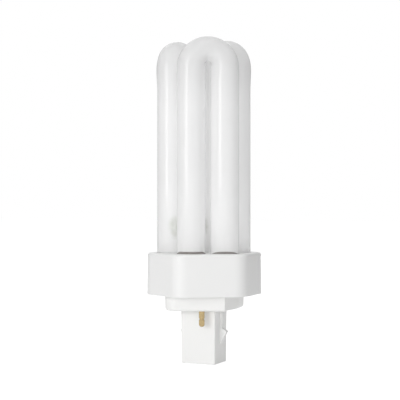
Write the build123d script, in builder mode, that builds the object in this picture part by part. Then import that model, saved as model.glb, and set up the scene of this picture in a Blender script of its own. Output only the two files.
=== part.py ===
from build123d import *
import os
from math import cos, pi, radians, sin, tan

os.makedirs("parts", exist_ok=True)

# Two pin compact fluorescent lamp, in millimetres.
# The origin is the centre of the spigot's closed end, and +Z runs up the lamp to the glass.
# The spigot's broad faces look along -Y and +Y, its wedged faces along -X and +X.

# Glass discharge tube: three U-bent legs in a ring
overall_length = 138.8
tube_radius = 6.0
leg_gap = 2.2
leg_angle = 30.2
u_angles = (180, -60, 60)
u_drops = (0.9, 0.7, 0.0)
bend_squeeze = 0.8
bend_bulge = 0.45
bend_step = 20
bulge_length = 9.0
bulge_shares = (0.0, 0.35, 0.7)
foot_depth = 8.4
foot_edge_radius = 2.7

# Electrode ends of two of the legs
pinch_width = 9.0
pinch_thickness = 2.6
pinch_height = 4.0
pinch_shoulder = 1.6
pinch_edge_radius = 1.15
pinch_wire_offset = 2.2
exhaust_tip_radius = 1.3
exhaust_tip_length = 3.2
exhaust_tip_edge_radius = 1.0
exhaust_tip_root = 1.8

# Glass bridges between neighbouring legs of two U tubes
bridge_rise = 10.8
bridge_waist_radius = 2.6
bridge_flare_radius = 3.5
bridge_flare_depth = 0.5

# Moulded collar with three long and three short sides
collar_clearance = 0.9
collar_side_step = 1.6
collar_corner_radius = 7.5
collar_height = 17.7
collar_draft = 0.5
collar_top_wall = 2.0
collar_side_wall = 2.35
collar_rim_wall = 1.5
collar_edge_radius = 1.3
tube_hole_clearance = 0.35

# Cap: spigot, keyed plate and flange in one moulding
spigot_length = 23.0
spigot_width = 15.3
spigot_depth = 13.5
spigot_draft = 0.6
spigot_wall = 1.3
spigot_end_wall = 1.5
spigot_corner_radius = 0.5
spigot_end_radius = 0.4
plate_height = 6.5
plate_half_width = 16.9
plate_flank_inset = 2.3
plate_offset = 0.45
plate_pin_margin = 2.9
plate_wall = 1.1
plate_floor = 1.8
plate_draft = 2.0
plate_cut_along = 7.6
plate_cut_back = 14.4
plate_cut_radius = 7.0
plate_corner_radius = 5.0
plate_edge_radius = 1.1
flange_thickness = 2.0
flange_wall = 1.2
flange_clearance = 0.15

# Retention wedge and rib on each narrow side of the spigot
wedge_thickness = 2.4
wedge_reach = 3.1
wedge_peak_z = 13.7
wedge_peak_radius = 0.6
wedge_shoulder_z = 14.9
wedge_tip_z = 7.8
rib_reach = 1.1

# Contact pins
pin_spacing = 23.0
pin_turn = 17.5
pin_radius = 1.2
pin_shank_radius = 1.5
pin_length = 6.6
pin_tip_radius = 0.9
pin_groove_rise = 3.0
pin_groove_width = 0.5
pin_groove_depth = 0.3
pin_head_radius = 1.7
pin_head_height = 0.7
pin_bore_radius = 0.55
pin_bore_depth = 3.2
pin_boss_radius = 2.2
pin_boss_height = 2.0

# Cement disc under the collar's top
cement_thickness = 3.2
cement_clearance = 0.1

# Glow switch and capacitor inside the spigot
starter_share = 0.66
starter_headroom = 2.4
starter_nose_share = 0.85
starter_shoulder_share = 0.3
starter_seal_radius = 2.55
starter_seal_height = 1.2
starter_seal_taper = 15
starter_lead_offset = 1.8
capacitor_side_gap = 1.2
capacitor_starter_gap = 0.7
capacitor_height = 11.5
capacitor_edge_radius = 0.6
capacitor_lead_offset = 2.5
fit_gap = 0.3

# Wires, crimps and sleeves
wire_radius = 0.4
lead_radius = 0.3
lead_pitch = 0.7
lead_rise = 1.5
lead_drop = 2.0
crimp_outer_radius = 1.1
crimp_inner_radius = 0.7
crimp_length = 4.6
crimp_rise = 1.4
crimp_entry = 1.8
sleeve_radius = 0.8
sleeve_clearance = 0.08
wire_drop = 3.0
wire_slope = 0.8
arc_share = 0.45

# How near to a line a corner has to lie to be taken as one of its corners
pick_margin = 0.1

# Sizes that follow from those above
leg_spacing = 2 * tube_radius + leg_gap
leg_distance = leg_spacing / 2 / sin(radians(leg_angle))
u_distance = leg_spacing / 2 / tan(radians(leg_angle))
collar_long_distance = u_distance + tube_radius + collar_clearance + collar_side_wall
collar_short_distance = collar_long_distance + collar_side_step
plate_half_depth = pin_spacing / 2 + plate_pin_margin
spigot_room = spigot_width - 2 * (spigot_wall + fit_gap)
starter_radius = starter_share * spigot_room / 2
starter_length = spigot_length - starter_headroom - spigot_end_wall - fit_gap
capacitor_width = spigot_depth - 2 * (spigot_wall + capacitor_side_gap)
capacitor_thickness = spigot_room - 2 * starter_radius - capacitor_starter_gap

# Heights that follow from the sizes above
plate_z = spigot_length
collar_bottom_z = spigot_length + plate_height
collar_top_z = collar_bottom_z + collar_height
flange_top_z = collar_bottom_z + flange_thickness
cement_top_z = collar_top_z - collar_top_wall
plate_floor_z = plate_z + plate_floor
floor_middle_z = plate_z + plate_floor / 2
boss_top_z = plate_floor_z + pin_boss_height
crimp_bottom_z = plate_floor_z + crimp_rise
bend_outer_radius = leg_spacing / 2 + tube_radius
bridge_z = collar_top_z + bridge_rise
foot_z = collar_top_z - foot_depth
pinch_bottom_z = foot_z + pinch_shoulder - pinch_height
wire_level = pinch_bottom_z - wire_drop


def polar(distance, angle):
    return (distance * cos(radians(angle)), distance * sin(radians(angle)))


# Where the legs and the pins stand
leg_angles = [a + side * leg_angle for a in u_angles for side in (-1, 1)]
legs = [polar(leg_distance, a) for a in leg_angles]
electrode_angles = (u_angles[1] + leg_angle, u_angles[2] - leg_angle)
electrode_legs = [polar(leg_distance, a) for a in electrode_angles]
bridge_pairs = (
    (polar(leg_distance, u_angles[0] + leg_angle - 360), polar(leg_distance, u_angles[1] - leg_angle)),
    (polar(leg_distance, u_angles[0] - leg_angle), polar(leg_distance, u_angles[2] + leg_angle)),
)
pin_front = polar(pin_spacing / 2, pin_turn - 90)
pin_rear = polar(pin_spacing / 2, pin_turn + 90)


def collar_outline(inset, corner_radius):
    """The collar's six-sided outline, moved inwards, with rounded corners."""
    sides = []
    for turn in range(6):
        distance = collar_long_distance if turn % 2 else collar_short_distance
        sides.append((distance - inset, 60 * turn))
    corners = []
    for (near, angle), (far, _) in zip(sides, sides[1:] + sides[:1]):
        along = (far - near * cos(radians(60))) / sin(radians(60))
        x, y = polar(near, angle)
        step_x, step_y = polar(along, angle + 90)
        corners.append((x + step_x, y + step_y))
    with BuildSketch(mode=Mode.PRIVATE) as outline:
        with BuildLine():
            Polyline(*corners, close=True)
        make_face()
        fillet(outline.vertices(), corner_radius)
    return outline.sketch


def plate_outline(inset):
    """The keyed plate's outline: two straight sides, sloping flanks and two opposite corners cut away."""
    half_width = plate_half_width
    half_depth = plate_half_depth
    front = [
        (half_width - plate_cut_along, -half_depth),
        (half_width - plate_flank_inset, -half_depth + plate_cut_back),
        (half_width, half_depth),
    ]
    back = [(-x, -y) for x, y in front]
    with BuildSketch(mode=Mode.PRIVATE) as outline:
        with BuildLine():
            Polyline(*front, *back, close=True)
        make_face()
        far_corners = [v for v in outline.vertices() if abs(v.X) > half_width - pick_margin]
        cut_corners = [v for v in outline.vertices() if abs(v.X) < half_width - pick_margin]
        fillet(far_corners, plate_corner_radius)
        fillet(cut_corners, plate_cut_radius)
        offset(amount=-inset)
    return Rot(Z=pin_turn) * Pos(X=plate_offset) * outline.sketch


def bend_radii(points):
    """The radius of each bend of a wire: as large as the shorter run beside it leaves room for."""
    radii = []
    for before, corner, after in zip(points, points[1:], points[2:]):
        run_in = Vector(corner) - Vector(before)
        run_out = Vector(after) - Vector(corner)
        half_turn = radians(run_in.get_angle(run_out)) / 2
        shorter = min(run_in.length, run_out.length)
        radii.append(arc_share * shorter / tan(half_turn))
    return radii


def wire_solid(points, radii, outer, inner=0.0):
    """A round wire, or a sleeve over one, along straight runs and tangent arcs."""
    with BuildLine() as route:
        FilletPolyline(*points, radius=radii)
    heading = Vector(points[1]) - Vector(points[0])
    with BuildPart() as wire:
        with BuildSketch(Plane(origin=points[0], z_dir=heading)):
            Circle(outer)
            if inner:
                Circle(inner, mode=Mode.SUBTRACT)
        sweep(path=route.wires()[0])
    length = route.wires()[0].length
    print("length", round(length, 2), "volume", round(wire.part.volume, 3),
          "expected", round(pi * (outer**2 - inner**2) * length, 3),
          "radii", [round(r, 2) for r in radii])
    return wire.part


def bend_sections(drop):
    """Planes and half sizes of the ovals that make one U bend, from leg to leg."""
    centre_z = overall_length - drop - bend_outer_radius
    steps = []
    for share in bulge_shares:
        steps.append((0, share, -bulge_length * (1 - share)))
    for degree in range(0, 180 + bend_step, bend_step):
        steps.append((degree, 1.0, 0.0))
    for share in reversed(bulge_shares):
        steps.append((180, share, -bulge_length * (1 - share)))
    sections = []
    for degree, share, below in steps:
        squeeze = bend_squeeze * sin(radians(degree)) ** 2
        swell = bend_bulge * sin(share * pi / 2) ** 2
        in_plane = tube_radius - squeeze
        out_of_plane = tube_radius + swell
        reach = bend_outer_radius - in_plane
        across = reach * cos(radians(degree))
        up = centre_z + reach * sin(radians(degree)) + below
        sections.append((across, up, degree, in_plane, out_of_plane))
    return sections


# Discharge tube: one sealed vessel of three U tubes, two bridges, two pinches and an exhaust tip
with BuildPart() as discharge_tube:
    for u_angle, drop in zip(u_angles, u_drops):
        outward = Vector(*polar(1, u_angle))
        sideways = Vector(*polar(1, u_angle + 90))
        for across, up, degree, in_plane, out_of_plane in bend_sections(drop):
            centre = outward * u_distance + sideways * across + Vector(0, 0, up)
            travel = Vector(0, 0, cos(radians(degree))) - sideways * sin(radians(degree))
            with BuildSketch(Plane(origin=centre, x_dir=outward, z_dir=travel)):
                if out_of_plane > in_plane:
                    Ellipse(out_of_plane, in_plane)
                else:
                    Circle(tube_radius)
        loft()
        leg_tops = discharge_tube.faces(Select.LAST).filter_by(Plane.XY)
        leg_top_z = overall_length - drop - bend_outer_radius - bulge_length
        extrude(leg_tops, amount=leg_top_z - foot_z)
    foot_edges = discharge_tube.edges().group_by(Axis.Z)[0]
    fillet(foot_edges, foot_edge_radius)
    for start, end in bridge_pairs:
        span = Vector(*end) - Vector(*start)
        flare = tube_radius - bridge_flare_depth
        bridge_plane = Plane(origin=(*start, bridge_z), x_dir=span, z_dir=(0, 0, 1))
        with BuildSketch(bridge_plane):
            with BuildLine():
                Line((flare, 0), (flare, bridge_flare_radius))
                ThreePointArc(
                    (flare, bridge_flare_radius),
                    (span.length / 2, bridge_waist_radius),
                    (span.length - flare, bridge_flare_radius),
                )
                Line((span.length - flare, bridge_flare_radius), (span.length - flare, 0))
                Line((span.length - flare, 0), (flare, 0))
            make_face()
        revolve(axis=Axis((*start, bridge_z), span))
    for angle, (x, y) in zip(electrode_angles, electrode_legs):
        pinch_plane = Plane(origin=(x, y, pinch_bottom_z), x_dir=(*polar(1, angle + 90), 0), z_dir=(0, 0, 1))
        with BuildSketch(pinch_plane):
            RectangleRounded(pinch_width, pinch_thickness, pinch_edge_radius)
        extrude(amount=pinch_height + pinch_shoulder)
    tip_leg = legs[0]
    with BuildSketch(Plane.XY.offset(foot_z - exhaust_tip_length)):
        with Locations(tip_leg):
            Circle(exhaust_tip_radius)
    extrude(amount=exhaust_tip_length + exhaust_tip_root)
    tip_edges = discharge_tube.edges().filter_by_position(
        Axis.Z, foot_z - exhaust_tip_length - pick_margin, foot_z - exhaust_tip_length + pick_margin
    )
    tip_edges = tip_edges.filter_by(lambda e: abs(e.radius - exhaust_tip_radius) < pick_margin)
    fillet(tip_edges, exhaust_tip_edge_radius)
discharge_tube.part.label = "discharge_tube"
export_step(discharge_tube.part, "parts/discharge_tube.step")

# Collar: a moulded cup, open below, with six holes for the glass legs
with BuildPart() as tube_collar:
    with BuildSketch(Plane.XY.offset(collar_bottom_z)):
        add(collar_outline(0, collar_corner_radius))
    extrude(amount=collar_height, taper=collar_draft)
    fillet(tube_collar.edges().group_by(Axis.Z)[-1], collar_edge_radius)
    with BuildSketch(Plane.XY.offset(collar_bottom_z)):
        add(collar_outline(collar_rim_wall, collar_corner_radius - collar_rim_wall))
    extrude(amount=flange_top_z - collar_bottom_z, mode=Mode.SUBTRACT)
    with BuildSketch(Plane.XY.offset(collar_bottom_z)):
        add(collar_outline(collar_side_wall, collar_corner_radius - collar_side_wall))
    extrude(amount=cement_top_z - collar_bottom_z, mode=Mode.SUBTRACT)
    with BuildSketch(Plane.XY.offset(cement_top_z)):
        with Locations(*legs):
            Circle(tube_radius + tube_hole_clearance)
    extrude(amount=collar_top_wall, mode=Mode.SUBTRACT)
tube_collar.part.label = "tube_collar"
export_step(tube_collar.part, "parts/tube_collar.step")

# Cement: the cast disc that bonds the glass feet under the collar's top
with BuildPart() as tube_cement:
    with BuildSketch(Plane.XY.offset(cement_top_z - cement_thickness)):
        cement_inset = collar_side_wall + cement_clearance
        add(collar_outline(cement_inset, collar_corner_radius - cement_inset))
        with Locations(*legs):
            Circle(tube_radius + cement_clearance, mode=Mode.SUBTRACT)
    extrude(amount=cement_thickness)
tube_cement.part.label = "tube_cement"
export_step(tube_cement.part, "parts/tube_cement.step")

# Cap: closed rectangular spigot, keyed plate and the flange that closes the collar
flange_inset = collar_rim_wall + flange_clearance
flange_inner = flange_inset + flange_wall
with BuildPart() as cap_body:
    with BuildSketch(Plane.XY.offset(plate_z)):
        add(plate_outline(0))
    extrude(amount=plate_height, taper=-plate_draft)
    fillet(cap_body.edges().group_by(Axis.Z)[0], plate_edge_radius)
    with BuildSketch(Plane.XY.offset(collar_bottom_z)):
        add(collar_outline(flange_inset, collar_corner_radius - flange_inset))
    extrude(amount=flange_thickness)
    with BuildSketch(Plane.XY.offset(plate_floor_z)):
        add(plate_outline(plate_wall))
        add(collar_outline(flange_inner, collar_corner_radius - flange_inner), mode=Mode.INTERSECT)
    extrude(amount=flange_top_z - plate_floor_z, mode=Mode.SUBTRACT)
    with BuildSketch(Plane.XY):
        Rectangle(spigot_width, spigot_depth)
    extrude(amount=floor_middle_z, taper=-spigot_draft)
    spigot_corners = cap_body.edges().filter_by_position(Axis.Z, spigot_end_wall, plate_z - spigot_end_wall)
    fillet(spigot_corners, spigot_corner_radius)
    fillet(cap_body.edges().group_by(Axis.Z)[0], spigot_end_radius)
    for side in (-1, 1):
        face_x = spigot_width / 2
        with BuildSketch(Plane.XZ.offset(-wedge_thickness / 2)):
            with BuildLine():
                Polyline(
                    (side * (face_x - spigot_wall / 2), floor_middle_z),
                    (side * (face_x + rib_reach), floor_middle_z),
                    (side * (face_x + rib_reach), wedge_shoulder_z),
                    (side * (face_x + wedge_reach), wedge_peak_z),
                    (side * face_x, wedge_tip_z),
                    (side * (face_x - spigot_wall / 2), wedge_tip_z),
                    close=True,
                )
            wedge = make_face()
            wedge_peak = wedge.vertices().sort_by(lambda v: side * v.X)[-1]
            fillet(wedge_peak, wedge_peak_radius)
        extrude(amount=wedge_thickness)
    with BuildSketch(Plane.XY.offset(spigot_end_wall)):
        Rectangle(spigot_width - 2 * spigot_wall, spigot_depth - 2 * spigot_wall)
    extrude(amount=plate_floor_z - spigot_end_wall, mode=Mode.SUBTRACT)
    with BuildSketch(Plane.XY.offset(floor_middle_z)):
        with Locations(pin_front, pin_rear):
            Circle(pin_boss_radius)
    extrude(amount=boss_top_z - floor_middle_z)
    with Locations((*pin_front, boss_top_z), (*pin_rear, boss_top_z)):
        Hole(pin_shank_radius, depth=boss_top_z - plate_z)
cap_body.part.label = "cap_body"
export_step(cap_body.part, "parts/cap_body.step")


def contact_pin(place):
    """A turned brass pin: rounded tip, a groove, a head on the boss and a bore for the wire."""
    tip_z = plate_z - pin_length
    top_z = boss_top_z + pin_head_height
    groove_z = tip_z + pin_groove_rise
    groove_radius = pin_radius - pin_groove_depth
    with BuildPart() as pin:
        with BuildSketch(Plane.XZ) as profile:
            with BuildLine():
                Polyline(
                    (0, tip_z),
                    (pin_radius, tip_z),
                    (pin_radius, groove_z),
                    (groove_radius, groove_z),
                    (groove_radius, groove_z + pin_groove_width),
                    (pin_radius, groove_z + pin_groove_width),
                    (pin_radius, plate_z),
                    (pin_shank_radius, plate_z),
                    (pin_shank_radius, boss_top_z),
                    (pin_head_radius, boss_top_z),
                    (pin_head_radius, top_z),
                    (pin_bore_radius, top_z),
                    (pin_bore_radius, top_z - pin_bore_depth),
                    (0, top_z - pin_bore_depth),
                    close=True,
                )
            make_face()
            fillet(profile.vertices().sort_by_distance(Vector(pin_radius, 0, tip_z))[0], pin_tip_radius)
        revolve(axis=Axis.Z)
    return Pos(*place) * pin.part


for pin_name, place in (("contact_pin_front", pin_front), ("contact_pin_rear", pin_rear)):
    pin_solid = contact_pin(place)
    pin_solid.label = pin_name
    export_step(pin_solid, f"parts/{pin_name}.step")

# Glow switch: a small sealed glass bulb, with a lead from each side of its seal
starter_x = -(spigot_width / 2 - spigot_wall) + fit_gap + starter_radius
starter_bottom_z = spigot_end_wall + fit_gap
starter_top_z = starter_bottom_z + starter_length
crimp_x = starter_x + lead_pitch / 2
lead_end_z = crimp_bottom_z + crimp_entry
with BuildPart() as glow_starter:
    with BuildSketch(Plane.XY.offset(starter_bottom_z)):
        with Locations((starter_x, 0)):
            Circle(starter_radius)
    extrude(amount=starter_length)
    fillet(glow_starter.edges().group_by(Axis.Z)[0], starter_radius * starter_nose_share)
    fillet(glow_starter.edges().group_by(Axis.Z)[-1], starter_radius * starter_shoulder_share)
    with BuildSketch(Plane.XY.offset(starter_top_z)):
        with Locations((starter_x, 0)):
            Circle(starter_seal_radius)
    extrude(amount=starter_seal_height, taper=starter_seal_taper)
    with BuildSketch(Plane.XY.offset(starter_top_z)):
        with Locations((starter_x, -starter_lead_offset), (starter_x, starter_lead_offset)):
            Circle(lead_radius)
    extrude(amount=lead_end_z - starter_top_z)
glow_starter.part.label = "glow_starter"
export_step(glow_starter.part, "parts/glow_starter.step")

# Suppression capacitor: a dipped film capacitor beside the glow switch, leads up to the crimps
capacitor_x = spigot_width / 2 - spigot_wall - fit_gap - capacitor_thickness / 2
capacitor_bottom_z = spigot_end_wall + fit_gap
capacitor_top_z = capacitor_bottom_z + capacitor_height
capacitor_leads = []
for side in (-1, 1):
    lead_points = [
        (capacitor_x, side * capacitor_lead_offset, capacitor_top_z - lead_radius),
        (capacitor_x, side * capacitor_lead_offset, starter_top_z + lead_rise),
        (crimp_x + lead_pitch / 2, side * starter_lead_offset, crimp_bottom_z - lead_drop),
        (crimp_x + lead_pitch / 2, side * starter_lead_offset, lead_end_z),
    ]
    capacitor_leads.append(wire_solid(lead_points, bend_radii(lead_points), lead_radius))
with BuildPart() as suppression_capacitor:
    with BuildSketch(Plane.XY.offset(capacitor_bottom_z)):
        with Locations((capacitor_x, 0)):
            Rectangle(capacitor_thickness, capacitor_width)
    extrude(amount=capacitor_height)
    fillet(suppression_capacitor.edges(), capacitor_edge_radius)
    add(capacitor_leads)
suppression_capacitor.part.label = "suppression_capacitor"
export_step(suppression_capacitor.part, "parts/suppression_capacitor.step")


def pinch_wire(index, side):
    """Where one of the two wires leaves the pinch of an electrode leg."""
    x, y = electrode_legs[index]
    step_x, step_y = polar(side * pinch_wire_offset, electrode_angles[index] + 90)
    return (x + step_x, y + step_y)


# Lead wires: from each pinch, one to a contact pin and one to a crimp over the glow switch
crimp_top_z = crimp_bottom_z + crimp_length
pin_wire_end_z = boss_top_z + pin_head_height - pin_bore_depth + fit_gap
wire_ends = (
    ("lead_wire_pin_front", pinch_wire(0, -1), pin_front, pin_wire_end_z),
    ("lead_wire_pin_rear", pinch_wire(1, 1), pin_rear, pin_wire_end_z),
    ("lead_wire_starter_a", pinch_wire(0, 1), (crimp_x, -starter_lead_offset), crimp_top_z - crimp_entry),
    ("lead_wire_starter_b", pinch_wire(1, -1), (crimp_x, starter_lead_offset), crimp_top_z - crimp_entry),
)
wire_routes = {}
for wire_name, start, end, end_z in wire_ends:
    wire_points = [
        (*start, pinch_bottom_z),
        (*start, wire_level),
        (*end, wire_level - wire_slope),
        (*end, end_z),
    ]
    wire_routes[wire_name] = wire_points
    solid = wire_solid(wire_points, bend_radii(wire_points), wire_radius)
    solid.label = wire_name
    export_step(solid, f"parts/{wire_name}.step")

# Insulating sleeves over the two wires that run to the pins
for sleeve_name, wire_name in (("wire_sleeve_a", "lead_wire_pin_front"), ("wire_sleeve_b", "lead_wire_pin_rear")):
    top, first, second, bottom = wire_routes[wire_name]
    sleeve_points = [
        (top[0], top[1], pinch_bottom_z - fit_gap),
        first,
        second,
        (bottom[0], bottom[1], boss_top_z + pin_head_height + fit_gap),
    ]
    sleeve_radii = bend_radii(wire_routes[wire_name])
    solid = wire_solid(sleeve_points, sleeve_radii, sleeve_radius, wire_radius + sleeve_clearance)
    solid.label = sleeve_name
    export_step(solid, f"parts/{sleeve_name}.step")

# Crimps: short tinned tubes that join wire, glow switch and capacitor
for crimp_name, side in (("splice_crimp_a", -1), ("splice_crimp_b", 1)):
    with BuildPart() as splice_crimp:
        with BuildSketch(Plane.XY.offset(crimp_bottom_z)):
            with Locations((crimp_x, side * starter_lead_offset)):
                Circle(crimp_outer_radius)
                Circle(crimp_inner_radius, mode=Mode.SUBTRACT)
        extrude(amount=crimp_length)
    splice_crimp.part.label = crimp_name
    export_step(splice_crimp.part, f"parts/{crimp_name}.step")
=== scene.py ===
import bpy
from math import cos, pi, radians, sin
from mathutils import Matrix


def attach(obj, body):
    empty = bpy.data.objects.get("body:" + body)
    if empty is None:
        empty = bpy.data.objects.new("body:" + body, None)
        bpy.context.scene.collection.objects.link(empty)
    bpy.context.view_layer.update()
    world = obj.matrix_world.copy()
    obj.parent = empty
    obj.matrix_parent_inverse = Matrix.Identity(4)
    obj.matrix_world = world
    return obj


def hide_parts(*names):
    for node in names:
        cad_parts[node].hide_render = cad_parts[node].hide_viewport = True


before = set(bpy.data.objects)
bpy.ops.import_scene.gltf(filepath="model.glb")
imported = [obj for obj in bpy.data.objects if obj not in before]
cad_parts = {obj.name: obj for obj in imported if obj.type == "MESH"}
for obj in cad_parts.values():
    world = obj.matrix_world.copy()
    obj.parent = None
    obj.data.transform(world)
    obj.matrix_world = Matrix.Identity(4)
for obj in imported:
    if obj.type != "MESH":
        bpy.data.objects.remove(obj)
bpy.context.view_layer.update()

# The view: a long lens a little above the collar, level but for a slight downward tilt.
# It stands in front of the lamp, turned towards the wedged side of the spigot.
view_turn = radians(22.4)
view_distance = 0.4937
view_height = 0.0700
view_aside = -0.00173
view_tilt = radians(0.05)
view_lens = 103.5
view_film_width = 36.0
view_nearest = 0.01
camera_data = bpy.data.cameras.new("studio_camera")
camera_data.lens = view_lens
camera_data.sensor_width = view_film_width
camera_data.clip_start = view_nearest
studio_camera = bpy.data.objects.new("studio_camera", camera_data)
bpy.context.scene.collection.objects.link(studio_camera)
studio_camera.location = (
    view_aside * cos(view_turn) + view_distance * sin(view_turn),
    view_aside * sin(view_turn) - view_distance * cos(view_turn),
    view_height,
)
studio_camera.rotation_euler = (radians(90.0) - view_tilt, 0.0, view_turn)
bpy.context.scene.camera = studio_camera
bpy.context.scene.view_settings.view_transform = "Standard"


# The room: an even pale surround. The eye, and whatever the gloss or glass shows, see plain white.
# What falls on the lamp from it is a softer level.
def white_to_the_eye(tree):
    """A value that is 1 for rays from the eye, a mirror or through glass, and 0 for the rest."""
    rays = tree.nodes.new("ShaderNodeLightPath")
    total = rays.outputs["Is Camera Ray"]
    for kind in ("Is Glossy Ray", "Is Transmission Ray"):
        add = tree.nodes.new("ShaderNodeMath")
        add.operation = "ADD"
        add.use_clamp = True
        tree.links.new(total, add.inputs[0])
        tree.links.new(rays.outputs[kind], add.inputs[1])
        total = add.outputs["Value"]
    return total


room_light = 0.47
room_white = 1.0
world = bpy.data.worlds.new("studio_room")
bpy.context.scene.world = world
world.use_nodes = True
room = world.node_tree
room.nodes.clear()
room_out = room.nodes.new("ShaderNodeOutputWorld")
room_fill = room.nodes.new("ShaderNodeBackground")
room_fill.inputs["Color"].default_value = (1.0, 1.0, 1.0, 1.0)
room_level = room.nodes.new("ShaderNodeMapRange")
room_level.inputs["To Min"].default_value = room_light
room_level.inputs["To Max"].default_value = room_white
room.links.new(white_to_the_eye(room), room_level.inputs["Value"])
room.links.new(room_level.outputs["Result"], room_fill.inputs["Strength"])
room.links.new(room_fill.outputs["Background"], room_out.inputs["Surface"])

# The floor: a wide pale sheet under the spigot. It shows white, and keeps the lamp's shadow.
floor_size = 6.0
floor_color = (0.92, 0.92, 0.92)
floor_lift = 0.57
bpy.ops.object.select_all(action="DESELECT")
bpy.ops.mesh.primitive_plane_add(size=floor_size, location=(0.0, 0.0, 0.0))
studio_floor = bpy.context.object
studio_floor.name = "studio_floor"
floor_paint = bpy.data.materials.new("floor_paint")
floor_paint.use_nodes = True
paint = floor_paint.node_tree
paint.nodes.clear()
paint_out = paint.nodes.new("ShaderNodeOutputMaterial")
paint_matt = paint.nodes.new("ShaderNodeBsdfDiffuse")
paint_matt.inputs["Color"].default_value = (*floor_color, 1.0)
paint_glow = paint.nodes.new("ShaderNodeEmission")
paint_sum = paint.nodes.new("ShaderNodeAddShader")
floor_level = paint.nodes.new("ShaderNodeMath")
floor_level.operation = "MULTIPLY"
floor_level.inputs[1].default_value = floor_lift
paint.links.new(white_to_the_eye(paint), floor_level.inputs[0])
paint.links.new(floor_level.outputs["Value"], paint_glow.inputs["Strength"])
paint.links.new(paint_matt.outputs["BSDF"], paint_sum.inputs[0])
paint.links.new(paint_glow.outputs["Emission"], paint_sum.inputs[1])
paint.links.new(paint_sum.outputs["Shader"], paint_out.inputs["Surface"])
studio_floor.data.materials.append(floor_paint)

# The lamps: a tall soft box on the left that the glass mirrors as a streak, a broad one by the eye,
# one overhead, and one behind that shines through the coated glass.
aim_height = 0.075


def soft_box(name, turn, rise, distance, width, height, power, mirrored):
    """A soft box that faces the middle of the lamp, placed by its angle from the view."""
    lamp = bpy.data.lights.new(name, "AREA")
    lamp.shape = "RECTANGLE"
    lamp.size = width
    lamp.size_y = height
    lamp.energy = power
    box = bpy.data.objects.new(name, lamp)
    bpy.context.scene.collection.objects.link(box)
    bearing = view_turn + radians(turn - 90.0)
    box.location = (
        distance * cos(radians(rise)) * cos(bearing),
        distance * cos(radians(rise)) * sin(bearing),
        aim_height + distance * sin(radians(rise)),
    )
    box.rotation_euler = (radians(90.0 - rise), 0.0, bearing + radians(90.0))
    box.visible_camera = False
    box.visible_glossy = mirrored


soft_box(
    "soft_box_left", turn=-37.0, rise=0.0, distance=0.9, width=0.30, height=0.80, power=3.4, mirrored=True
)
soft_box(
    "soft_box_front", turn=-8.0, rise=0.0, distance=1.1, width=0.70, height=0.50, power=4.1, mirrored=False
)
soft_box(
    "soft_box_above", turn=0.0, rise=75.0, distance=0.9, width=0.70, height=0.70, power=1.5, mirrored=False
)
soft_box(
    "soft_box_behind", turn=170.0, rise=8.0, distance=0.9, width=0.70, height=0.70, power=2.8, mirrored=False
)

# Dark flags stand round the lamp at either side. Only the gloss shows them, as thin dark lines
# along the edges of the glass and of the pins.
flag_distance = 0.6
flag_height = 0.60
flag_middle = 0.08
flag_widths = {"front": 0.34, "middle": 0.46, "rear": 0.30}
flag_turns = {"right": (75.0, 112.0, 150.0), "left": (285.0, 248.0, 210.0)}
flag_cloth = bpy.data.materials.new("flag_cloth")
flag_cloth.use_nodes = True
cloth = flag_cloth.node_tree.nodes["Principled BSDF"]
cloth.inputs["Base Color"].default_value = (0.05, 0.05, 0.05, 1.0)
cloth.inputs["Roughness"].default_value = 0.9


def dark_flag(name, turn, width):
    """A tall dark card that faces the middle of the lamp, placed by its angle from the view."""
    bearing = view_turn + radians(turn - 90.0)
    bpy.ops.object.select_all(action="DESELECT")
    bpy.ops.mesh.primitive_plane_add(
        size=1.0, location=(flag_distance * cos(bearing), flag_distance * sin(bearing), flag_middle),
        rotation=(radians(90.0), 0.0, bearing + radians(90.0)),
    )
    flag = bpy.context.object
    flag.name = name
    flag.scale = (width, flag_height, 1.0)
    flag.data.materials.append(flag_cloth)
    flag.visible_camera = False
    flag.visible_diffuse = False
    flag.visible_transmission = False
    flag.visible_shadow = False


for side, turns in flag_turns.items():
    for (row, width), turn in zip(flag_widths.items(), turns):
        dark_flag("dark_flag_" + side + "_" + row, turn, width)

# Discharge tube: three U-bent legs of clear glass tube in a ring, coated white inside, and drawn
# together by two short glass bridges fused between neighbouring legs. Each U is bent from one
# length of tube, so its bend is a little flatter and wider than its legs.
tube_radius = 0.006
leg_offset = 0.0071
leg_turn = 30.2
u_distance = 0.0121989
u_turns = (180.0, -60.0, 60.0)
u_drops = (0.0009, 0.0007, 0.0)
tube_top = 0.13879
foot_height = 0.0388
foot_rounding = 0.0027
foot_segments = 5
bend_squeeze = 0.0008
bend_bulge = 0.00045
bulge_length = 0.009
bulge_steps = 6
bend_steps = 30
bend_outer = leg_offset + tube_radius
bend_centre = tube_top - bend_outer
ring_points = 72


def swollen(share):
    """Half the tube's width across the bend, at a share of the way from the straight leg."""
    return tube_radius + bend_bulge * sin(share * pi / 2) ** 2


def draw_on(rise, spread):
    """Draws the end of the tube on by a step, and widens it across the bend."""
    bpy.ops.mesh.extrude_region_move(TRANSFORM_OT_translate={"value": (0.0, 0.0, rise)})
    bpy.ops.transform.resize(value=(spread, 1.0, 1.0), center_override=(u_distance, 0.0, 0.0))


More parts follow.
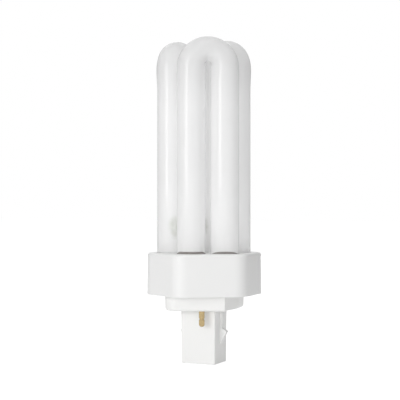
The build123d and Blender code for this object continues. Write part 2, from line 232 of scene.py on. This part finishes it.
def turn_on(turn_before, turn_after):
    """Carries the end of the tube on round the bend by a step, and flattens it on the way."""
    half_before = tube_radius - bend_squeeze * sin(turn_before) ** 2
    half_after = tube_radius - bend_squeeze * sin(turn_after) ** 2
    out_y = -cos(turn_after)
    out_z = sin(turn_after)
    bpy.ops.mesh.extrude_region_move(TRANSFORM_OT_translate={"value": (0.0, 0.0, 0.0)})
    bpy.ops.transform.rotate(
        value=pi / bend_steps, orient_axis="X", orient_type="GLOBAL",
        center_override=(u_distance, 0.0, bend_centre),
    )
    bpy.ops.transform.resize(
        value=(1.0, half_after / half_before, 1.0),
        orient_type="GLOBAL", orient_matrix_type="GLOBAL",
        orient_matrix=((1.0, 0.0, 0.0), (0.0, out_y, out_z), (0.0, -out_z, out_y)),
        constraint_axis=(False, True, False),
        center_override=(u_distance, bend_outer * out_y, bend_centre + bend_outer * out_z),
    )


straight_length = bend_centre - bulge_length - foot_height
bpy.ops.object.select_all(action="DESELECT")
bpy.ops.mesh.primitive_circle_add(
    vertices=ring_points, radius=tube_radius, fill_type="NGON",
    location=(u_distance, -leg_offset, foot_height),
)
first_u = bpy.context.object
bpy.ops.object.mode_set(mode="EDIT")
bpy.ops.mesh.select_all(action="SELECT")
draw_on(straight_length, 1.0)
bulge_shares = [step / bulge_steps for step in range(bulge_steps + 1)]
for before, after in zip(bulge_shares, bulge_shares[1:]):
    draw_on(bulge_length * (after - before), swollen(after) / swollen(before))
for step in range(bend_steps):
    turn_on(pi * step / bend_steps, pi * (step + 1) / bend_steps)
for before, after in zip(reversed(bulge_shares), reversed(bulge_shares[:-1])):
    draw_on(-bulge_length * (before - after), swollen(after) / swollen(before))
draw_on(-straight_length, 1.0)
bpy.ops.mesh.select_all(action="DESELECT")
bpy.ops.object.mode_set(mode="OBJECT")
for edge in first_u.data.edges:
    heights = [abs(first_u.data.vertices[corner].co.z) for corner in edge.vertices]
    edge.select = max(heights) < foot_rounding / 10
bpy.ops.object.mode_set(mode="EDIT")
bpy.ops.mesh.select_mode(type="EDGE")
bpy.ops.mesh.bevel(offset=foot_rounding, offset_type="OFFSET", segments=foot_segments, profile=0.5)
bpy.ops.object.mode_set(mode="OBJECT")
bpy.ops.object.transform_apply(location=True, rotation=True, scale=True)


def placed_copy(source, name, turn, lift):
    """A copy of a piece with its own mesh, turned about the lamp's axis and lifted into place."""
    bpy.ops.object.select_all(action="DESELECT")
    copy = source.copy()
    copy.data = source.data.copy()
    copy.name = name
    bpy.context.scene.collection.objects.link(copy)
    copy.rotation_euler = (0.0, 0.0, radians(turn))
    copy.location = (0.0, 0.0, lift)
    copy.select_set(True)
    bpy.context.view_layer.objects.active = copy
    bpy.ops.object.transform_apply(location=True, rotation=True, scale=True)
    return copy


tube_shapes = [placed_copy(first_u, "tube_u", turn, -drop) for turn, drop in zip(u_turns, u_drops)]

# The bridge is a short waisted neck of glass, blown through and fused while the legs were hot, so
# that the arc can pass from one U to the next. Its ends sink a little into the walls of its legs.
leg_distance = (leg_offset ** 2 + u_distance ** 2) ** 0.5
bridge_height = 0.0580
bridge_waist = 0.0026
bridge_flare = 0.0011
bridge_reach = 0.0016
bridge_sink = 0.0019
bridge_turns = (-120.0, 120.0)
bridge_points = 48
bridge_steps = 12
bridge_out = leg_distance * cos(radians(60.0 - leg_turn))


def neck_radius(along):
    """The neck's radius at a distance from its middle."""
    return bridge_waist + bridge_flare * (abs(along) / bridge_reach) ** 2.5


bpy.ops.object.select_all(action="DESELECT")
bpy.ops.mesh.primitive_circle_add(
    vertices=bridge_points, radius=neck_radius(bridge_sink), fill_type="NGON",
    location=(bridge_out, -bridge_sink, bridge_height), rotation=(radians(90.0), 0.0, 0.0),
)
first_bridge = bpy.context.object
bpy.ops.object.mode_set(mode="EDIT")
bpy.ops.mesh.select_all(action="SELECT")
for step in range(bridge_steps):
    along = -bridge_sink + 2 * bridge_sink * step / bridge_steps
    after = -bridge_sink + 2 * bridge_sink * (step + 1) / bridge_steps
    spread = neck_radius(after) / neck_radius(along)
    bpy.ops.mesh.extrude_region_move(TRANSFORM_OT_translate={"value": (0.0, after - along, 0.0)})
    bpy.ops.transform.resize(
        value=(spread, 1.0, spread), center_override=(bridge_out, after, bridge_height)
    )
bpy.ops.object.mode_set(mode="OBJECT")
bpy.ops.object.transform_apply(location=True, rotation=True, scale=True)
tube_shapes += [placed_copy(first_bridge, "tube_bridge", turn, 0.0) for turn in bridge_turns]

# The pinch closes the foot of an electrode's leg: the hot glass was pressed flat round the two
# wires that carry the electrode. Two of the six legs end in one.
pinch_bottom = 0.0364
pinch_top = 0.0420
pinch_width = 0.0090
pinch_thickness = 0.0026
pinch_rounding = 0.00115
pinch_turns = (leg_turn - 60.0, 60.0 - leg_turn)
pinch_middle = (leg_distance, 0.0, (pinch_bottom + pinch_top) / 2)
bpy.ops.object.select_all(action="DESELECT")
bpy.ops.mesh.primitive_cube_add(size=1.0, location=pinch_middle)
first_pinch = bpy.context.object
bpy.ops.object.mode_set(mode="EDIT")
bpy.ops.mesh.select_all(action="SELECT")
bpy.ops.transform.resize(
    value=(pinch_thickness, pinch_width, pinch_top - pinch_bottom), center_override=pinch_middle
)
bpy.ops.mesh.bevel(offset=pinch_rounding, segments=4)
bpy.ops.object.mode_set(mode="OBJECT")
bpy.ops.object.transform_apply(location=True, rotation=True, scale=True)
tube_shapes += [placed_copy(first_pinch, "tube_pinch", turn, 0.0) for turn in pinch_turns]

# The exhaust tip is the stub of thin glass tube through which the vessel was pumped out and filled.
# It was sealed off in a flame, so its end is round.
tip_bottom = 0.0356
tip_top = 0.0406
tip_radius = 0.0013
tip_rounding = 0.0010
tip_turn = 180.0 - leg_turn
bpy.ops.object.select_all(action="DESELECT")
bpy.ops.mesh.primitive_cylinder_add(
    vertices=32, radius=tip_radius, depth=tip_top - tip_bottom,
    location=(leg_distance, 0.0, (tip_top + tip_bottom) / 2),
)
first_tip = bpy.context.object
bpy.ops.object.mode_set(mode="EDIT")
bpy.ops.mesh.select_all(action="DESELECT")
bpy.ops.object.mode_set(mode="OBJECT")
for face in first_tip.data.polygons:
    face.select = face.normal.z < -0.9
bpy.ops.object.mode_set(mode="EDIT")
bpy.ops.mesh.select_mode(type="FACE")
bpy.ops.mesh.bevel(offset=tip_rounding, segments=4)
bpy.ops.object.mode_set(mode="OBJECT")
bpy.ops.object.transform_apply(location=True, rotation=True, scale=True)
tube_shapes.append(placed_copy(first_tip, "tube_tip", tip_turn, 0.0))
for shape in (first_u, first_bridge, first_pinch, first_tip):
    bpy.data.objects.remove(shape)

# All of it is one sealed vessel, melted together at the joints. So the shapes are fused into one
# skin, and its joints are merged and smoothed as flowed glass is.
merge_distance = 0.000002
crease_angle = radians(50.0)
glass_tube = tube_shapes[0]
glass_tube.name = "glass_tube"
for shape in tube_shapes[1:]:
    fuse = glass_tube.modifiers.new("fuse", "BOOLEAN")
    fuse.operation = "UNION"
    fuse.solver = "EXACT"
    fuse.object = shape
    bpy.ops.object.select_all(action="DESELECT")
    glass_tube.select_set(True)
    bpy.context.view_layer.objects.active = glass_tube
    bpy.ops.object.modifier_apply(modifier=fuse.name)
    bpy.data.objects.remove(shape)
bpy.ops.object.mode_set(mode="EDIT")
bpy.ops.mesh.select_all(action="SELECT")
bpy.ops.mesh.remove_doubles(threshold=merge_distance)
bpy.ops.mesh.normals_make_consistent(inside=False)
bpy.ops.object.mode_set(mode="OBJECT")
bpy.ops.object.shade_smooth_by_angle(angle=crease_angle)


def new_group(name, inputs, outputs):
    """An empty shader node group with named inputs and outputs, and its two end nodes."""
    group = bpy.data.node_groups.new(name, "ShaderNodeTree")
    for socket_name, kind, value in inputs:
        socket = group.interface.new_socket(name=socket_name, in_out="INPUT", socket_type=kind)
        socket.default_value = value
    for socket_name, kind in outputs:
        group.interface.new_socket(name=socket_name, in_out="OUTPUT", socket_type=kind)
    return group, group.nodes.new("NodeGroupInput"), group.nodes.new("NodeGroupOutput")


def joined(tree, operation, first, second):
    """A math node of two values, each a socket or a number."""
    node = tree.nodes.new("ShaderNodeMath")
    node.operation = operation
    for socket, value in zip(node.inputs, (first, second)):
        if isinstance(value, (int, float)):
            socket.default_value = value
        else:
            tree.links.new(value, socket)
    return node.outputs["Value"]


# Fine mottle: a shade and a gloss that drift over a surface, at a coarse and a fine scale.
fine_share = 0.6
mottle, mottle_in, mottle_out = new_group(
    "fine_mottle",
    (("Color", "NodeSocketColor", (0.8, 0.8, 0.8, 1.0)), ("Coarse Scale", "NodeSocketFloat", 60.0),
     ("Fine Scale", "NodeSocketFloat", 900.0), ("Shade Drift", "NodeSocketFloat", 0.03),
     ("Roughness", "NodeSocketFloat", 0.5), ("Gloss Drift", "NodeSocketFloat", 0.08)),
    (("Color", "NodeSocketColor"), ("Roughness", "NodeSocketFloat"), ("Height", "NodeSocketFloat")),
)
mottle_place = mottle.nodes.new("ShaderNodeTexCoord")
coarse = mottle.nodes.new("ShaderNodeTexNoise")
coarse.inputs["Detail"].default_value = 3.0
fine = mottle.nodes.new("ShaderNodeTexNoise")
fine.inputs["Detail"].default_value = 4.0
mottle.links.new(mottle_place.outputs["Object"], coarse.inputs["Vector"])
mottle.links.new(mottle_place.outputs["Object"], fine.inputs["Vector"])
mottle.links.new(mottle_in.outputs["Coarse Scale"], coarse.inputs["Scale"])
mottle.links.new(mottle_in.outputs["Fine Scale"], fine.inputs["Scale"])
coarse_off = joined(mottle, "SUBTRACT", coarse.outputs["Fac"], 0.5)
fine_off = joined(mottle, "SUBTRACT", fine.outputs["Fac"], 0.5)
both_off = joined(mottle, "ADD", coarse_off, joined(mottle, "MULTIPLY", fine_off, fine_share))
shade_off = joined(mottle, "MULTIPLY", both_off, mottle_in.outputs["Shade Drift"])
tinted = mottle.nodes.new("ShaderNodeVectorMath")
tinted.operation = "SCALE"
mottle.links.new(mottle_in.outputs["Color"], tinted.inputs["Vector"])
mottle.links.new(joined(mottle, "ADD", 1.0, shade_off), tinted.inputs["Scale"])
mottle.links.new(tinted.outputs["Vector"], mottle_out.inputs["Color"])
gloss_off = joined(mottle, "MULTIPLY", both_off, mottle_in.outputs["Gloss Drift"])
gloss = joined(mottle, "ADD", mottle_in.outputs["Roughness"], gloss_off)
mottle.links.new(gloss, mottle_out.inputs["Roughness"])
mottle.links.new(fine.outputs["Fac"], mottle_out.inputs["Height"])


def mottled_material(name, color, roughness, coarse_scale, fine_scale, shade_drift, gloss_drift, bump):
    """A material with fine mottle in its colour, gloss and relief, of a depth in metres."""
    material = bpy.data.materials.new(name)
    material.use_nodes = True
    tree = material.node_tree
    shader = tree.nodes["Principled BSDF"]
    surface = tree.nodes.new("ShaderNodeGroup")
    surface.name = "surface"
    surface.node_tree = mottle
    surface.inputs["Color"].default_value = (*color, 1.0)
    surface.inputs["Roughness"].default_value = roughness
    surface.inputs["Coarse Scale"].default_value = coarse_scale
    surface.inputs["Fine Scale"].default_value = fine_scale
    surface.inputs["Shade Drift"].default_value = shade_drift
    surface.inputs["Gloss Drift"].default_value = gloss_drift
    tree.links.new(surface.outputs["Color"], shader.inputs["Base Color"])
    tree.links.new(surface.outputs["Roughness"], shader.inputs["Roughness"])
    relief = tree.nodes.new("ShaderNodeBump")
    relief.inputs["Strength"].default_value = 1.0
    relief.inputs["Distance"].default_value = bump
    tree.links.new(surface.outputs["Height"], relief.inputs["Height"])
    tree.links.new(relief.outputs["Normal"], shader.inputs["Normal"])
    return material


# The coat is a fine white powder under smooth clear glass. It is thin round the bridges, and it
# stops short of the collar on the outer side of two legs, where a dark colour is painted on the bare
# glass as painted shade. Its colour is painted whiter towards the feet, as painted light where the
# collar shades the legs, and greyer on the bends, as painted shade on the tops.
coat_color = (0.94, 0.94, 0.94)
thin_color = (0.84, 0.85, 0.82)
# Painted shade: the dark colour put on the bare glass at the foot of two legs.
bare_glass_painted_shade = (0.34, 0.32, 0.30)
coat_passes = 0.44
foot_passes = 0.46
foot_bottom = 0.047
foot_top = 0.085
# Painted light and shade: the coat's colour is lifted towards the feet and darkened on the bends.
foot_painted_light = 1.05
bend_painted_shade = 0.90
bend_bottom = 0.108
bend_top = 0.134
thin_radius = 0.0036
thin_fade = 0.0026
thin_wander = 0.003
wander_scale = 350.0
bare_bottom = 0.0470
bare_rise = 0.0010
bare_fade = 0.0003
bare_heading = (0.381, -0.925, 0.0)
bare_from = 0.0130
bare_to = 0.0175
coated_glass = mottled_material(
    "coated_glass", coat_color, roughness=0.65, coarse_scale=90.0, fine_scale=4000.0,
    shade_drift=0.02, gloss_drift=0.05, bump=0.000004,
)
coat = coated_glass.node_tree
coat_shader = coat.nodes["Principled BSDF"]
coat_shader.inputs["Coat Weight"].default_value = 1.0
coat_shader.inputs["Coat Roughness"].default_value = 0.03
coat_shader.inputs["Coat IOR"].default_value = 1.5
coat_place = coat.nodes.new("ShaderNodeTexCoord")


def ramp(tree, value, low, high, low_value, high_value):
    """A soft step of a value, from one level to another between two limits."""
    node = tree.nodes.new("ShaderNodeMapRange")
    node.interpolation_type = "SMOOTHSTEP"
    node.inputs["From Min"].default_value = low
    node.inputs["From Max"].default_value = high
    node.inputs["To Min"].default_value = low_value
    node.inputs["To Max"].default_value = high_value
    tree.links.new(value, node.inputs["Value"])
    return node.outputs["Result"]


def colour_mix(tree, factor, first, second):
    """A mix of two colours by a mask. The first is a socket, the second a plain colour."""
    node = tree.nodes.new("ShaderNodeMix")
    node.data_type = "RGBA"
    node.inputs["B"].default_value = (*second, 1.0)
    tree.links.new(factor, node.inputs["Factor"])
    tree.links.new(first, node.inputs["A"])
    return node.outputs["Result"]


spans = []
for turn in bridge_turns:
    span = coat.nodes.new("ShaderNodeVectorMath")
    span.operation = "DISTANCE"
    span.inputs[1].default_value = (
        bridge_out * cos(radians(turn)), bridge_out * sin(radians(turn)), bridge_height
    )
    coat.links.new(coat_place.outputs["Object"], span.inputs[0])
    spans.append(span.outputs["Value"])
nearest = joined(coat, "MINIMUM", *spans)
wander = coat.nodes.new("ShaderNodeTexNoise")
wander.inputs["Scale"].default_value = wander_scale
coat.links.new(coat_place.outputs["Object"], wander.inputs["Vector"])
wander_off = joined(coat, "SUBTRACT", wander.outputs["Fac"], 0.5)
wandered = joined(coat, "ADD", nearest, joined(coat, "MULTIPLY", wander_off, thin_wander))
thin = ramp(coat, wandered, thin_radius, thin_radius + thin_fade, 1.0, 0.0)

coat_split = coat.nodes.new("ShaderNodeSeparateXYZ")
coat.links.new(coat_place.outputs["Object"], coat_split.inputs["Vector"])
height = coat_split.outputs["Z"]
passes = ramp(coat, height, foot_bottom, foot_top, foot_passes, coat_passes)
# Painted light at the feet and painted shade on the bends, as factors on the coat's colour.
painted_foot_ramp = ramp(coat, height, foot_bottom, foot_top, foot_painted_light, 1.0)
painted_bend_ramp = ramp(coat, height, bend_bottom, bend_top, 1.0, bend_painted_shade)
coat_shade = coat.nodes.new("ShaderNodeVectorMath")
coat_shade.operation = "SCALE"
coat.links.new(coat.nodes["surface"].outputs["Color"], coat_shade.inputs["Vector"])
coat.links.new(joined(coat, "MULTIPLY", painted_foot_ramp, painted_bend_ramp), coat_shade.inputs["Scale"])

# Where the coat stops on two legs: the mask of the painted shade on the bare glass.
outward = coat.nodes.new("ShaderNodeVectorMath")
outward.operation = "DOT_PRODUCT"
outward.inputs[1].default_value = bare_heading
coat.links.new(coat_place.outputs["Object"], outward.inputs[0])
outer_side = ramp(coat, outward.outputs["Value"], bare_from, bare_to, 0.0, bare_rise)
lowered = joined(coat, "SUBTRACT", height, outer_side)
below_edge = ramp(coat, lowered, bare_bottom, bare_bottom + bare_fade, 1.0, 0.0)
above_foot = ramp(coat, height, bare_bottom - bare_fade, bare_bottom, 0.0, 1.0)
bare_glass_shade_mask = joined(coat, "MULTIPLY", below_edge, above_foot)

powder = colour_mix(coat, thin, coat_shade.outputs["Vector"], thin_color)
tube_color = colour_mix(coat, bare_glass_shade_mask, powder, bare_glass_painted_shade)
coat.links.new(tube_color, coat_shader.inputs["Base Color"])
shine_through = coat.nodes.new("ShaderNodeBsdfTranslucent")
coat.links.new(tube_color, shine_through.inputs["Color"])
coat_both = coat.nodes.new("ShaderNodeMixShader")
coat.links.new(passes, coat_both.inputs["Fac"])
coat.links.new(coat_shader.outputs["BSDF"], coat_both.inputs[1])
coat.links.new(shine_through.outputs["BSDF"], coat_both.inputs[2])
coat.links.new(coat_both.outputs["Shader"], coat.nodes["Material Output"].inputs["Surface"])
glass_tube.data.materials.clear()
glass_tube.data.materials.append(coated_glass)
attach(glass_tube, "root")
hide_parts("discharge_tube")

# Collar and cap: two injection mouldings of white plastic, satin, with the faint grain of a
# spark-eroded mould. The cap is pressed up into the collar. Its colour is painted a shade whiter
# than the collar's, as painted light on the cap where the collar shades it.
plastic_colors_cap_lit = {"tube_collar": (0.85, 0.85, 0.845), "cap_body": (0.88, 0.88, 0.87)}
plastic_ior = 1.48
for moulding, color in plastic_colors_cap_lit.items():
    plastic = mottled_material(
        "white_plastic_" + moulding, color, roughness=0.42, coarse_scale=45.0, fine_scale=2600.0,
        shade_drift=0.015, gloss_drift=0.10, bump=0.000006,
    )
    plastic.node_tree.nodes["Principled BSDF"].inputs["IOR"].default_value = plastic_ior
    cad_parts[moulding].data.materials.clear()
    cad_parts[moulding].data.materials.append(plastic)

# Contact pins: turned brass, with a rounded tip and a groove near it, pressed into bosses in the
# cap. Each row of the profile is a height and a radius, from the tip up to the hollow top, into
# which the wire is soldered.
pin_distance = 0.0115
pin_turns = {"contact_pin_front": -72.5, "contact_pin_rear": 107.5}
pin_points = 48
pin_crease = radians(28.0)
pin_tip = (
    (0.01640, 0.00030), (0.01644, 0.00052), (0.01656, 0.00076), (0.01676, 0.00098), (0.01702, 0.00112),
    (0.01730, 0.00120),
)
pin_groove = (
    (0.01934, 0.00120), (0.01940, 0.00114), (0.01942, 0.00092), (0.01988, 0.00092), (0.01990, 0.00114),
    (0.01996, 0.00120),
)
pin_root = (
    (0.02300, 0.00120), (0.02300, 0.00150), (0.02680, 0.00150), (0.02680, 0.00166), (0.02684, 0.00170),
    (0.02744, 0.00170), (0.02750, 0.00164),
)
pin_hollow = ((0.02750, 0.00055), (0.02430, 0.00055))
pin_profile = pin_tip + pin_groove + pin_root + pin_hollow
bpy.ops.object.select_all(action="DESELECT")
bpy.ops.mesh.primitive_circle_add(
    vertices=pin_points, radius=pin_profile[0][1], fill_type="NGON",
    location=(pin_distance, 0.0, pin_profile[0][0]),
)
first_pin = bpy.context.object
bpy.ops.object.mode_set(mode="EDIT")
bpy.ops.mesh.select_all(action="SELECT")
for (low, narrow), (high, wide) in zip(pin_profile, pin_profile[1:]):
    spread = wide / narrow
    bpy.ops.mesh.extrude_region_move(TRANSFORM_OT_translate={"value": (0.0, 0.0, high - low)})
    bpy.ops.transform.resize(value=(spread, spread, 1.0), center_override=(pin_distance, 0.0, high))
bpy.ops.object.mode_set(mode="OBJECT")
bpy.ops.object.shade_smooth_by_angle(angle=pin_crease)
bpy.ops.object.transform_apply(location=True, rotation=True, scale=True)
# Painted shade: the brass colour is set darker than clean brass, for the dark surroundings the pins mirror.
brass_painted_dark_color = (0.42, 0.32, 0.17)
pin_brass = mottled_material(
    "pin_brass", brass_painted_dark_color, roughness=0.18, coarse_scale=500.0, fine_scale=5000.0,
    shade_drift=0.25, gloss_drift=0.15, bump=0.000002,
)
pin_brass.node_tree.nodes["Principled BSDF"].inputs["Metallic"].default_value = 1.0
for pin_name, turn in pin_turns.items():
    pin = placed_copy(first_pin, "turned_" + pin_name, turn, 0.0)
    pin.data.materials.clear()
    pin.data.materials.append(pin_brass)
    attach(pin, "root")
    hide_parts(pin_name)
bpy.data.objects.remove(first_pin)


# Inside the collar: the cement, a pale grainy paste that was poured round the glass feet and set.
# Inside the spigot: the glow switch in its small glass bulb, and the film capacitor dipped in resin.
# The wires of tinned copper join them to the pins, held by tinned crimps, in woven sleeves.
def dressed(node_names, material):
    """Gives the lamp's own solids their material."""
    for node_name in node_names:
        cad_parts[node_name].data.materials.clear()
        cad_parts[node_name].data.materials.append(material)


dressed(("tube_cement",), mottled_material(
    "cement", (0.78, 0.75, 0.68), roughness=0.9, coarse_scale=200.0, fine_scale=1500.0,
    shade_drift=0.20, gloss_drift=0.10, bump=0.00010,
))
dressed(("glow_starter",), mottled_material(
    "switch_glass", (0.80, 0.84, 0.83), roughness=0.08, coarse_scale=120.0, fine_scale=900.0,
    shade_drift=0.06, gloss_drift=0.04, bump=0.000002,
))
dressed(("suppression_capacitor",), mottled_material(
    "capacitor_resin", (0.55, 0.24, 0.08), roughness=0.22, coarse_scale=160.0, fine_scale=700.0,
    shade_drift=0.15, gloss_drift=0.10, bump=0.00004,
))
tinned_wire = mottled_material(
    "tinned_wire", (0.70, 0.70, 0.70), roughness=0.35, coarse_scale=700.0, fine_scale=4000.0,
    shade_drift=0.12, gloss_drift=0.20, bump=0.000003,
)
tinned_wire.node_tree.nodes["Principled BSDF"].inputs["Metallic"].default_value = 1.0
tinned_names = ["lead_wire_pin_front", "lead_wire_pin_rear"]
tinned_names += ["lead_wire_starter_a", "lead_wire_starter_b", "splice_crimp_a", "splice_crimp_b"]
dressed(tinned_names, tinned_wire)
dressed(("wire_sleeve_a", "wire_sleeve_b"), mottled_material(
    "sleeve_fabric", (0.84, 0.81, 0.74), roughness=0.85, coarse_scale=400.0, fine_scale=3500.0,
    shade_drift=0.18, gloss_drift=0.05, bump=0.00006,
))
